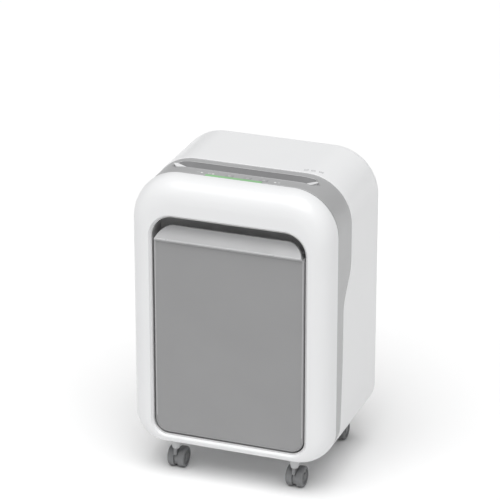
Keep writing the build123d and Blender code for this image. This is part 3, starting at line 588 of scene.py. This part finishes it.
def make_recess_liner():
    bm = bmesh.new()
    front, edge = LINER_FRONT_Y, LINER_EDGE
    add_tube(bm, [at_y(opening_outline(0), front + edge), at_y(opening_outline(-edge), front),
                  at_y(opening_outline(-LINER + edge), front), at_y(opening_outline(-LINER), front + edge),
                  at_y(opening_outline(-LINER), LINER_BACK_Y), at_y(opening_outline(0), LINER_BACK_Y)])
    wall = [(x, z) for x, z in opening_outline(-0.2) if z > POCKET_Z]
    bottom = [(-OPEN_X + 0.2, POCKET_Z), (OPEN_X - 0.2, POCKET_Z)]
    add_loft(bm, [at_y(wall + bottom, LINER_BACK_Y + 0.05), at_y(wall + bottom, LINER_BACK_Y + 2)])
    place(make_object("recess_liner_skin", bm, [RECESS]), "housing", "recess_grey", "recess_liner")


def slot_outline(tip, flat, half_y, middle_y, round_r=2.0, steps=24):
    """Plan-view outline of the slot as (x, y): straight sides, a pointed end each side, softened corners."""
    corners = [(-tip, middle_y), (-flat, middle_y - half_y), (flat, middle_y - half_y),
               (tip, middle_y), (flat, middle_y + half_y), (-flat, middle_y + half_y)]
    points = []
    for index, corner in enumerate(corners):
        here = Vector(corner)
        before = (Vector(corners[index - 1]) - here).normalized()
        after = (Vector(corners[(index + 1) % 6]) - here).normalized()
        start = here + before * round_r
        end = here + after * round_r
        for step in range(5):
            share = step / 4
            points.append(tuple(start * (1 - share) ** 2 + here * 2 * share * (1 - share) + end * share ** 2))
        following = Vector(corners[(index + 1) % 6]) - after * round_r
        for step in range(1, steps):
            points.append(tuple(end + (following - end) * step / steps))
    return points


def band_surface(x):
    """Height of the band's skin over the top and shoulders."""
    over = abs(x) - (HALF - TOP_R)
    radius = TOP_R - BAND_SINK
    return TOP_Z - TOP_R + math.sqrt(radius ** 2 - max(0.0, over) ** 2)


def top_openings(low_z):
    """Everything that comes up through the band's top, as one cutting mesh down to a height."""
    bm = bmesh.new()
    rim = slot_outline(SLOT_TIP_X + SLOT_RIM + SLOT_GROOVE, SLOT_FLAT_X + SLOT_RIM / 2 + SLOT_GROOVE,
                       SLOT_HALF_Y + SLOT_RIM + SLOT_GROOVE, SLOT_MIDDLE_Y)
    add_loft(bm, [[(x, y, z) for x, y in rim] for z in (low_z - 20, TOP_Z + 5)])
    for key in KEYS:
        low, high = box(key)
        half_x = (high.x - low.x) / 2 - KEY_FLANGE + KEY_GAP
        middle = (high.x + low.x) / 2
        key_outline = rounded_plate(middle, KEY_Y, half_x, KEY_HALF_Y + KEY_GAP, KEY_R + 0.2)
        add_loft(bm, [[(x, y, z) for x, y in key_outline] for z in (low_z, TOP_Z + 5)])
    for x in LAMP_X:
        add_lathe(bm, [(low_z, 0), (low_z, LAMP_R + 0.1), (TOP_Z + 5, LAMP_R + 0.1), (TOP_Z + 5, 0)],
                  (x, KEY_Y, 0), "z", steps=24)
    low, high = box("light_bar")
    add_block(bm, (low.x - LIGHT_GAP, SEAM_Y - 1, low_z),
              (high.x + LIGHT_GAP, LIGHT_BACK_Y + LIGHT_GAP, TOP_Z + 5))
    return bm


def rounded_plate(x, y, half_x, half_y, r, steps=5):
    """Plan-view rounded rectangle as (x, y) points."""
    points = []
    for sign_x, sign_y, start in ((1, -1, -90), (1, 1, 0), (-1, 1, 90), (-1, -1, 180)):
        for step in range(steps + 1):
            angle = math.radians(start + 90 * step / steps)
            points.append((x + sign_x * (half_x - r) + r * math.cos(angle),
                           y + sign_y * (half_y - r) + r * math.sin(angle)))
    return points


def make_trim_band():
    front = SEAM_Y + FRAME_GAP
    rings = [at_y(housing_outline(BAND_SINK + BAND_EDGE_R), front),
             at_y(housing_outline(BAND_SINK), front + BAND_EDGE_R)]
    for share in (0.33, 0.66):
        rings.append(at_y(housing_outline(BAND_SINK), lambda z: front + (band_edge(z) - front) * share))
    rings.append(at_y(housing_outline(BAND_SINK), lambda z: band_edge(z) - BAND_EDGE_R))
    rings.append(at_y(housing_outline(BAND_SINK + BAND_EDGE_R), band_edge))
    rings.append(at_y(housing_outline(WALL - 0.05), band_edge))
    rings.append(at_y(housing_outline(WALL - 0.05), front))
    bm = bmesh.new()
    add_tube(bm, rings)
    piece = make_object("trim_band_skin", bm, [BAND])
    cut(piece, top_openings(BAND_TOP_Z - 6))
    place(piece, "housing", "silver_band", "trim_band")


def make_rear_shell():
    def front(z):
        return band_edge(z) + BAND_GAP

    back = COVER_Y
    rings = []
    for step in range(4):
        turn = math.radians(90 * step / 3)
        drop = SHELL_EDGE_R * (1 - math.cos(turn))
        inset = SHELL_EDGE_R * (1 - math.sin(turn))
        rings.append(at_y(housing_outline(inset), lambda z: front(z) + drop))
    for share in (0.2, 0.4, 0.6, 0.8):
        rings.append(at_y(housing_outline(0), lambda z: front(z) + (back - front(z)) * share))
    groove_y = back - SHELL_SEAM
    rings.append(at_y(housing_outline(0), groove_y - 0.3))
    rings.append(at_y(housing_outline(0.3), groove_y))
    rings.append(at_y(housing_outline(SHELL_SEAM), groove_y))
    rings.append(at_y(housing_outline(SHELL_SEAM), back))
    rings.append(at_y(housing_outline(WALL), back))
    rings.append(at_y(housing_outline(WALL), front))
    bm = bmesh.new()
    add_tube(bm, rings)
    piece = make_object("rear_shell_skin", bm, [WHITE])
    place(piece, "housing", "white_gloss", "rear_shell")
    # Sleeve under the band, part of the white shell, coloured dark plastic: painted shade seen through the
    # channel behind the front frame
    sleeve = bmesh.new()
    add_tube(sleeve, [at_y(housing_outline(WALL), SEAM_Y + 0.05), at_y(housing_outline(WALL), SLEEVE_BACK_Y),
                      at_y(housing_outline(WALL + SLEEVE), SLEEVE_BACK_Y),
                      at_y(housing_outline(WALL + SLEEVE), SEAM_Y + 0.05)])
    inner = make_object("band_sleeve_painted_shade", sleeve, [DARK])
    cut(inner, top_openings(BAND_TOP_Z - 10))
    place(inner, "housing", "white_gloss")


def make_back_cover():
    rings = []
    inner_r = COVER_R - WALL
    for step in range(9):
        turn = math.radians(90 * (8 - step) / 8)
        rings.append(at_y(housing_outline(WALL + inner_r * (1 - math.cos(turn))),
                          COVER_HIGH.y - COVER_R + inner_r * math.sin(turn)))
    rings.append(at_y(housing_outline(WALL), COVER_Y + 0.05))
    rings.append(at_y(housing_outline(0.25), COVER_Y + 0.05))
    rings.append(at_y(housing_outline(0), COVER_Y + 0.3))
    for step in range(13):
        turn = math.radians(90 * step / 12)
        rings.append(at_y(housing_outline(COVER_R * (1 - math.cos(turn))),
                          COVER_HIGH.y - COVER_R + COVER_R * math.sin(turn)))
    bm = bmesh.new()
    add_loft(bm, rings)
    piece = make_object("back_cover_skin", bm, [WHITE])
    cutters = bmesh.new()
    inside, outside = COVER_HIGH.y - 8, COVER_HIGH.y + 2
    for row in range(VENT_ROWS):
        for side in (-1, 1):
            slot = rounded_plate(VENT_X * side, VENT_Z + VENT_PITCH * row, VENT_HALF_X, VENT_HALF_Z,
                                 VENT_HALF_Z - 0.01, steps=6)
            add_loft(cutters, [at_y(slot, inside), at_y(slot, outside)])

    def round_hole(x, z, r):
        profile = [(inside, 0), (inside, r), (outside, r), (outside, 0)]
        add_lathe(cutters, profile, (x, 0, z), "y")

    for x, z in SCREW_SPOTS:
        round_hole(x, z, SCREW_HOLE_R)
    switch_low, switch_high = box("rocker_housing")
    add_block(cutters, (switch_low.x - 0.1, inside, switch_low.z - 0.1),
              (switch_high.x + 0.1, outside, switch_high.z + 0.1))
    gland_low, gland_high = box("cord_gland")
    gland = (gland_low + gland_high) / 2
    round_hole(gland.x, gland.z, GLAND_HOLE_R)
    cut(piece, cutters)
    soften(piece, 0.4)
    place(piece, "housing", "white_gloss", "back_cover")


# ---- slot, keys and lamps -----------------------------------------------------------------------
def make_throat_guide():
    def ring(tip, flat, half_y, middle_y, lift=None, z=None, r=2.0):
        points = slot_outline(tip, flat, half_y, middle_y, r)
        return [(x, y, band_surface(x) + lift if z is None else z) for x, y in points]

    rim_tip, rim_flat, rim_half = SLOT_TIP_X + SLOT_RIM, SLOT_FLAT_X + SLOT_RIM / 2, SLOT_HALF_Y + SLOT_RIM
    rings = [
        ring(rim_tip, rim_flat, rim_half, SLOT_MIDDLE_Y, lift=-RIM_DEEP),
        ring(rim_tip, rim_flat, rim_half, SLOT_MIDDLE_Y, lift=0.0),
        ring(rim_tip - 0.3, rim_flat - 0.3, rim_half - 0.3, SLOT_MIDDLE_Y, lift=0.3),
        ring(SLOT_TIP_X + 0.4, SLOT_FLAT_X + 0.4, SLOT_HALF_Y + 0.4, SLOT_MIDDLE_Y, lift=0.3),
        ring(SLOT_TIP_X, SLOT_FLAT_X, SLOT_HALF_Y, SLOT_MIDDLE_Y, lift=-0.2),
    ]
    inner = []
    for share in (0.0, 0.35, 0.7, 1.0):
        tip = SLOT_TIP_X + (THROAT_X + 1 - SLOT_TIP_X) * share
        flat = SLOT_FLAT_X + (THROAT_X - SLOT_FLAT_X) * share
        half_y = SLOT_HALF_Y + (THROAT_HALF - SLOT_HALF_Y) * share
        middle = SLOT_MIDDLE_Y + (NIP_Y - SLOT_MIDDLE_Y) * share
        points = slot_outline(tip, flat, half_y, middle, 2.0 - 1.2 * share)
        inner.append([(x, y, (band_surface(x) - RIM_DEEP) * (1 - share) + THROAT_TOP_Z * share)
                      for x, y in points])
    inner.append(ring(THROAT_X + 1, THROAT_X, THROAT_HALF, NIP_Y, z=GUIDE_LOW.z, r=0.8))
    outer = [
        ring(THROAT_X + 3.5, THROAT_X + 2, THROAT_HALF + 2, NIP_Y, z=GUIDE_LOW.z, r=0.8),
        ring(THROAT_X + 3.5, THROAT_X + 2, THROAT_HALF + 2, NIP_Y, z=THROAT_TOP_Z - 1, r=0.8),
        ring(rim_tip, rim_flat, rim_half, SLOT_MIDDLE_Y, z=BAND_TOP_Z - 16),
    ]
    bm = bmesh.new()
    add_tube(bm, rings + inner + outer)
    for face in bm.faces:
        heights = [v.co.z - band_surface(v.co.x) for v in face.verts]
        face.material_index = 0 if min(heights) > 0.1 - RIM_DEEP else 1
    piece = make_object("throat_guide_skin", bm, [BAND, SLOT])
    place(piece, "housing", "recess_grey", "throat_guide")


def make_key(node, body, icon):
    low, high = box(node)
    middle = (low.x + high.x) / 2
    half_x = (high.x - low.x) / 2 - KEY_FLANGE
    bm = bmesh.new()
    rings = []
    for inset, z in ((0.0, low.z + 2), (0.0, high.z - 0.6), (0.18, high.z - 0.18), (0.6, high.z)):
        plate = rounded_plate(middle, KEY_Y, half_x - inset, KEY_HALF_Y - inset, KEY_R)
        rings.append([(x, y, z) for x, y in plate])
    dished = [(x, y, high.z - KEY_DISH) for x, y in rounded_plate(middle, KEY_Y, half_x - 1.8, 2.8, 1.2)]
    add_loft(bm, rings + [dished])
    post = [(low.z, 0), (low.z, KEY_POST_R), (low.z + 2.2, KEY_POST_R), (low.z + 2.2, 0)]
    add_lathe(bm, post, (middle, KEY_Y, 0), "z", steps=20)
    place(make_object(node + "_skin", bm, [KEY]), body, "key_silver", node)
    mark = bmesh.new()
    icon(mark, middle, KEY_Y, high.z - KEY_DISH - 0.01)
    place(make_object(node + "_icon", mark, [INK_WHITE]), body, "lamp_white")


def skin_z(x):
    """Height of the white skin over the top and shoulders."""
    over = max(0.0, abs(x) - (HALF - TOP_R))
    return TOP_Z - TOP_R + math.sqrt(TOP_R ** 2 - over ** 2)


def add_bar(bm, start, end, width, z):
    """Flat printed stroke between two plan-view points; without a z it lies on the white top."""
    a, b = Vector(start), Vector(end)
    along = (b - a).normalized()
    side = Vector((-along.y, along.x)) * width / 2
    corners = [a - side, b - side, b + side, a + side]
    add_loft(bm, [[(c.x, c.y, (skin_z(c.x) - INK_SINK if z is None else z) + up) for c in corners]
                  for up in (0, INK_THICK)])


def add_arc(bm, x, y, r, width, start, end, z, steps=28):
    """Flat printed arc."""
    inner, outer = [], []
    for step in range(steps + 1):
        angle = math.radians(start + (end - start) * step / steps)
        inner.append((x + (r - width / 2) * math.cos(angle), y + (r - width / 2) * math.sin(angle)))
        outer.append((x + (r + width / 2) * math.cos(angle), y + (r + width / 2) * math.sin(angle)))
    for step in range(steps):
        quad = [inner[step], inner[step + 1], outer[step + 1], outer[step]]
        add_loft(bm, [[(px, py, level) for px, py in quad] for level in (z, z + INK_THICK)])


def power_icon(bm, x, y, z):
    add_arc(bm, x, y, 1.7, 0.45, 120, 420, z)
    add_bar(bm, (x, y + 0.5), (x, y + 2.3), 0.45, z)


def forward_icon(bm, x, y, z):
    for shift in (-1.1, 0.9):
        add_bar(bm, (x + shift - 0.7, y + 1.6), (x + shift + 0.7, y), 0.45, z)
        add_bar(bm, (x + shift - 0.7, y - 1.6), (x + shift + 0.7, y), 0.45, z)


def reverse_icon(bm, x, y, z):
    add_arc(bm, x, y, 1.6, 0.45, -60, 200, z)
    add_bar(bm, (x - 2.3, y + 0.4), (x - 1.5, y - 0.9), 0.45, z)
    add_bar(bm, (x - 1.5, y - 0.9), (x - 0.6, y + 0.3), 0.45, z)


def make_lamps():
    low, high = box("lamp_lenses")
    bm = bmesh.new()
    for x in LAMP_X:
        profile = [(low.z, 0), (low.z, LAMP_R - 0.05), (high.z - 0.35, LAMP_R - 0.05),
                   (high.z - 0.1, LAMP_R - 0.4), (high.z, LAMP_R - 1.1), (high.z, 0)]
        add_lathe(bm, profile, (x, KEY_Y, 0), "z", steps=28)
    place(make_object("lamp_lenses_skin", bm, [LAMP]), "housing", "lamp_white", "lamp_lenses")


def make_light_bar():
    low, high = box("light_bar")
    bm = bmesh.new()
    rings = []
    top = TOP_Z - 0.15
    for inset, z in ((0.0, low.z), (0.0, top - 0.4), (0.15, top - 0.12), (0.4, top)):
        rings.append([(low.x + inset, SEAM_Y + 0.5 + inset, z), (high.x - inset, SEAM_Y + 0.5 + inset, z),
                      (high.x - inset, LIGHT_BACK_Y - inset, z), (low.x + inset, LIGHT_BACK_Y - inset, z)])
    add_loft(bm, rings)
    place(make_object("light_bar_skin", bm, [GREEN]), "housing", "light_green", "light_bar")


def make_top_marks():
    """Printed signs: a tick and a card by the lamps, and three plain signs behind the slot."""
    bm = bmesh.new()
    z = BAND_TOP_Z - 0.02
    x = LAMP_X[0] - 7
    add_bar(bm, (x - 1.6, KEY_Y), (x - 0.4, KEY_Y - 1.3), 0.5, z)
    add_bar(bm, (x - 0.4, KEY_Y - 1.3), (x + 1.8, KEY_Y + 1.8), 0.5, z)
    x = LAMP_X[1] - 6.5
    for side in (-1, 1):
        add_bar(bm, (x - 2, KEY_Y + 1.3 * side), (x + 2, KEY_Y + 1.3 * side), 0.4, z)
        add_bar(bm, (x + 2 * side, KEY_Y - 1.5), (x + 2 * side, KEY_Y + 1.5), 0.4, z)
    x = LAMP_X[2] + 7
    add_arc(bm, x, KEY_Y, 1.5, 0.4, 0, 360, z)
    place(make_object("lamp_signs", bm, [INK_WHITE]), "housing", "lamp_white")
    signs = bmesh.new()
    for x, y in zip(SIGN_X, SIGN_Y):
        for side in (-1, 1):
            add_bar(signs, (x - 3.2, y + 2.6 * side), (x + 3.2, y + 2.6 * side), 0.6, None)
            add_bar(signs, (x + 3.2 * side, y - 2.85), (x + 3.2 * side, y + 2.85), 0.6, None)
        add_bar(signs, (x - 2.2, y - 1.4), (x + 2.2, y + 1.4), 0.9, None)
    place(make_object("slot_signs", signs, [INK_GREY]), "housing", "dark_plastic")


# ---- bin ----------------------------------------------------------------------------------------
def door_outline(inset):
    """Outline of the bin's front: square at the top, rounded at the bottom."""
    return rounded_outline(DOOR_HIGH.x - inset, DOOR_LOW.z + inset, DOOR_HIGH.z - inset,
                           1.0, DOOR_LOW_R - inset)


def make_door():
    face = DOOR_LOW.y
    bm = bmesh.new()
    section = [(DOOR_WALL, 3.0), (DOOR_WALL, DOOR_DEEP), (0.0, DOOR_DEEP), (0.0, DOOR_ROUND)]
    for step in range(1, 6):
        turn = math.radians(18 * step)
        section.append((DOOR_ROUND * (1 - math.cos(turn)), DOOR_ROUND * (1 - math.sin(turn))))
    ridge = DOOR_ROUND + DOOR_RIDGE
    section += [(ridge, 0.0), (ridge + 0.3, 0.3), (ridge + 0.8, 0.3), (ridge + 1.1, 0.1)]
    rows = add_loft(bm, [at_y(door_outline(inset), face + drop) for inset, drop in section])
    edge = {vert for row in rows[7:11] for vert in row}     # from the rounding's end to the ridge's far side
    # Side faces from the rounding's end over the ridge take the painted highlight copy
    for item in bm.faces:
        beside = min(vert.co.z for vert in item.verts) > DOOR_LOW.z + DOOR_LOW_R
        if beside and len(item.verts) == 4 and all(vert in edge for vert in item.verts):
            item.material_index = 1
    add_block(bm, (1 - DOOR_HIGH.x, face + 6, POCKET_Z - 3), (DOOR_HIGH.x - 1, DOOR_HIGH.y, POCKET_Z))
    piece = make_object("bin_front_panel_skin", bm, [PANEL, PANEL_EDGE_HIGHLIGHT])
    place(piece, "bin", "grey_panel", "bin_front_panel")


def make_lip():
    """Sloping silver grip along the top of the bin's front, its top corners rounded."""
    z0 = LIP_LOW.z
    top = LIP_HIGH.z
    section = [(-127, z0), (-134.2, z0), (-134.8, z0 + 0.4), (LIP_LOW.y, z0 + 1.2), (LIP_LOW.y, z0 + 2.8),
               (LIP_SLOPE_Y, z0 + LIP_FOOT)]
    for share in (0.15, 0.3, 0.45, 0.6, 0.75, 0.9):
        y = LIP_SLOPE_Y + LIP_SLOPE_DEEP * share
        sag = LIP_SAG * math.sin(math.pi * share)
        section.append((y + sag, z0 + LIP_FOOT + (top - z0 - LIP_FOOT) * share))
    section += [(-118.6, top - 0.35), (-117.9, top), (-116.2, top), (-115.2, top - 0.6), (-115.4, top - 1.6),
                (-126, z0 + 5)]
    half = LIP_HIGH.x
    bm = bmesh.new()
    steps = 40
    rings = [[(-half + 2 * half * step / steps, y, z) for y, z in section] for step in range(steps + 1)]
    add_loft(bm, rings)
    # The bead under the slope takes the lighter copy, a painted highlight
    for face in bm.faces:
        if max(vert.co.z for vert in face.verts) < z0 + LIP_FOOT + 0.1:
            face.material_index = 1
    piece = make_object("bin_handle_lip_skin", bm, [LIP, LIP_EDGE_HIGHLIGHT])
    mask = bmesh.new()
    shape = rounded_outline(half - 0.01, z0 - 60, top + 0.01, LIP_TOP_R, 5, arc=24)
    add_loft(mask, [at_y(shape, LIP_LOW.y - 5), at_y(shape, LIP_HIGH.y + 5)])
    cut(piece, mask, "INTERSECT")
    soften(piece, 0.5, angle=40)
    place(piece, "bin", "silver_lip", "bin_handle_lip")


# ---- casters ------------------------------------------------------------------------------------
def make_caster(name):
    swivel, wheels = f"swivel_{name}", f"wheels_{name}"
    wheel_low, wheel_high = box(f"caster_wheels_{name}")
    hub = (wheel_low + wheel_high) / 2
    wheel_r = (wheel_high.z - wheel_low.z) / 2
    wide = (wheel_high.x - wheel_low.x) / 2 - WHEEL_INNER_X
    bm = bmesh.new()
    for side in (-1, 1):
        profile = [(0, 0), (0, wheel_r - WHEEL_EDGE), (0.35, wheel_r - 0.35), (WHEEL_EDGE, wheel_r),
                   (wide - WHEEL_ROUND, wheel_r)]
        for step in range(1, 7):
            turn = math.radians(15 * step)
            profile.append((wide - WHEEL_ROUND + WHEEL_ROUND * math.sin(turn),
                            wheel_r - WHEEL_ROUND * (1 - math.cos(turn))))
        profile += [(wide - deep, radius) for deep, radius in WHEEL_DISH] + [(wide, 0)]
        profile = [(along * side, radius) for along, radius in profile]
        add_lathe(bm, profile, (hub.x + side * WHEEL_INNER_X, hub.y, hub.z), "x", steps=64)
    place(make_object(f"caster_wheels_{name}_skin", bm, [WHEEL]), wheels, "caster_wheel",
          f"caster_wheels_{name}")
    housing = refined(f"caster_housing_{name}", swivel, "caster_grey", CASTER, 0.4)
    # The web low between the wheels takes the darker copy, painted shade
    housing.data.materials.append(CASTER_WEB_SHADE)
    for polygon in housing.data.polygons:
        if polygon.center.z < (wheel_high.z + WEB_SHADE_TOP) * MM:
            polygon.material_index = 1


# ---- build --------------------------------------------------------------------------------------
make_front_frame()
make_recess_liner()
make_trim_band()
make_rear_shell()
make_back_cover()
make_throat_guide()
refined("throat_end_ramps", "housing", "white_gloss", WHITE, 0.3)
make_key("power_key", "power_button", power_icon)
make_key("forward_key", "forward_button", forward_icon)
make_key("reverse_key", "reverse_button", reverse_icon)
make_lamps()
make_light_bar()
make_top_marks()
make_door()
make_lip()
refined("bin_tub", "bin", "dark_plastic", DARK, 0.6)
for caster in CASTERS:
    make_caster(caster)

node_slots = {}
for entry in frame["record"]["materials"]:
    for node in entry.get("nodes", []):
        node_slots[node] = entry["slot"]
for node, shape in frame["nodes"].items():
    slot_name = node_slots.get(node) or shape.material_slots[0].material.name
    shape.material_slots[0].material = SLOT_FINISH[slot_name]


# ---- studio -------------------------------------------------------------------------------------
def make_floor():
    mesh = bpy.data.meshes.new("floor")
    size = 30.0
    corners = [(-size, -size, 0), (size, -size, 0), (size, size, 0), (-size, size, 0)]
    mesh.from_pydata(corners, [], [(0, 1, 2, 3)])
    mesh.materials.append(finish("floor_white", (0.93, 0.93, 0.93), 0.7, tint=0.005, tint_scale=1.0,
                                 bump=0.001, bump_scale=50, specular=0.1))
    floor = bpy.data.objects.new("floor", mesh)
    bpy.context.scene.collection.objects.link(floor)


def make_light(name, position, size, power):
    """Soft rectangular light turned to the machine's middle."""
    target = Vector((0, 0, 0.35))
    data = bpy.data.lights.new(name, "AREA")
    data.shape = "RECTANGLE"
    data.size, data.size_y = size
    data.energy = power
    light = bpy.data.objects.new(name, data)
    light.location = position
    light.rotation_euler = (target - Vector(position)).to_track_quat("-Z", "Y").to_euler()
    bpy.context.scene.collection.objects.link(light)


def make_sun(name, elevation, azimuth, spread_angle, strength):
    """Very soft light from one direction, even over the whole floor."""
    data = bpy.data.lights.new(name, "SUN")
    data.energy = strength
    data.angle = math.radians(spread_angle)
    light = bpy.data.objects.new(name, data)
    light.rotation_euler = (math.radians(90 - elevation), 0, math.radians(azimuth))
    bpy.context.scene.collection.objects.link(light)


def make_camera():
    """Camera at the usual product angle, from the front right and above."""
    distance = 5.0
    azimuth = math.radians(20.35)
    elevation = math.radians(24.1)
    pitch = math.radians(22.91)
    side = -0.009
    data = bpy.data.cameras.new("camera")
    data.lens = 209.0
    data.sensor_width = 36.0
    camera = bpy.data.objects.new("camera", data)
    reach = distance * math.cos(elevation)
    camera.location = (reach * math.sin(azimuth) + side * math.cos(azimuth),
                       -reach * math.cos(azimuth) + side * math.sin(azimuth),
                       (cad_low.z + cad_high.z) / 2 + distance * math.sin(elevation))
    forward = Vector((-math.sin(azimuth) * math.cos(pitch), math.cos(azimuth) * math.cos(pitch),
                      -math.sin(pitch)))
    camera.rotation_euler = forward.to_track_quat("-Z", "Y").to_euler()
    bpy.context.scene.collection.objects.link(camera)
    bpy.context.scene.camera = camera


def make_world(strength):
    world = bpy.data.worlds.new("studio")
    world.use_nodes = True
    background = world.node_tree.nodes["Background"]
    background.inputs["Color"].default_value = (1.0, 1.0, 1.0, 1)
    background.inputs["Strength"].default_value = strength
    bpy.context.scene.world = world


make_floor()
make_world(0.25)
make_sun("soft_sun", elevation=70, azimuth=12, spread_angle=60, strength=2.9)
make_light("left_softbox", (-1.9, -2.6, 1.9), size=(1.2, 1.6), power=1.5)
make_light("right_softbox", (2.2, -2.2, 2.2), size=(1.0, 1.6), power=2)
make_camera()
bpy.context.scene.view_settings.view_transform = "Standard"
